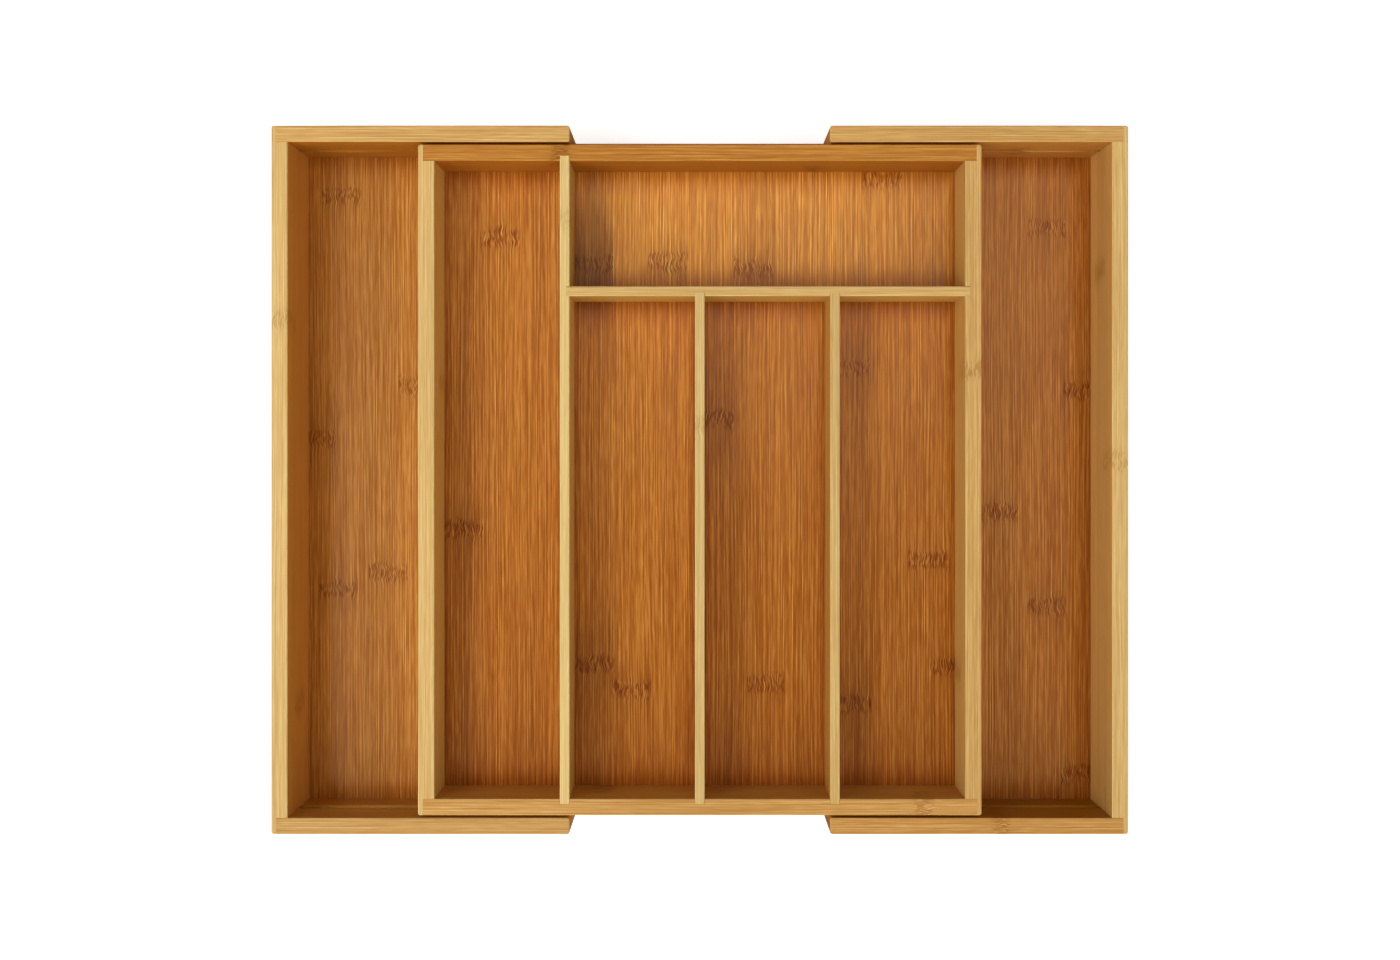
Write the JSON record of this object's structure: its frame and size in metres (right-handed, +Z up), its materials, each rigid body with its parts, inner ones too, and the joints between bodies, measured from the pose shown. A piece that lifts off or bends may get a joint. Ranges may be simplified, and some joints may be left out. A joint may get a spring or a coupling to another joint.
{
  "type": "expanding cutlery tray",
  "caption": "Low bamboo cutlery tray for a drawer: a centre tray of compartments with a side tray that slides out at each end to fill the drawer's width.",
  "frame": {"origin": "on the surface that the tray stands on, under the middle of the tray, with both side trays drawn out as in the picture", "axes": "+X to the right, along the slides; +Y to the back, where the wide compartment is; +Z up"},
  "size_m": [0.52, 0.43, 0.06],
  "materials": {
    "wall_bamboo": "satin lacquer",
    "floor_bamboo": "satin lacquer",
    "divider_bamboo": "satin lacquer",
    "runner_bamboo": "sanded, unlacquered"
  },
  "bodies": {
    "centre_tray": {"centre_left_wall": "wall_bamboo", "centre_right_wall": "wall_bamboo", "centre_front_wall": "wall_bamboo", "centre_back_wall": "wall_bamboo", "centre_floor": "floor_bamboo", "long_divider": "divider_bamboo", "cross_divider": "divider_bamboo", "left_short_divider": "divider_bamboo", "right_short_divider": "divider_bamboo", "front_runner": "runner_bamboo", "back_runner": "runner_bamboo"},
    "left_tray": {"left_end_wall": "wall_bamboo", "left_front_wall": "wall_bamboo", "left_back_wall": "wall_bamboo", "left_floor": "floor_bamboo"},
    "right_tray": {"right_end_wall": "wall_bamboo", "right_front_wall": "wall_bamboo", "right_back_wall": "wall_bamboo", "right_floor": "floor_bamboo"}
  },
  "joints": [
    {"name": "left_slide", "type": "slide", "parent": "centre_tray", "child": "left_tray", "axis": [-1, 0, 0], "range_m": [-0.0785, 0.04]},
    {"name": "right_slide", "type": "slide", "parent": "centre_tray", "child": "right_tray", "axis": [1, 0, 0], "range_m": [-0.0785, 0.04]}
  ]
}
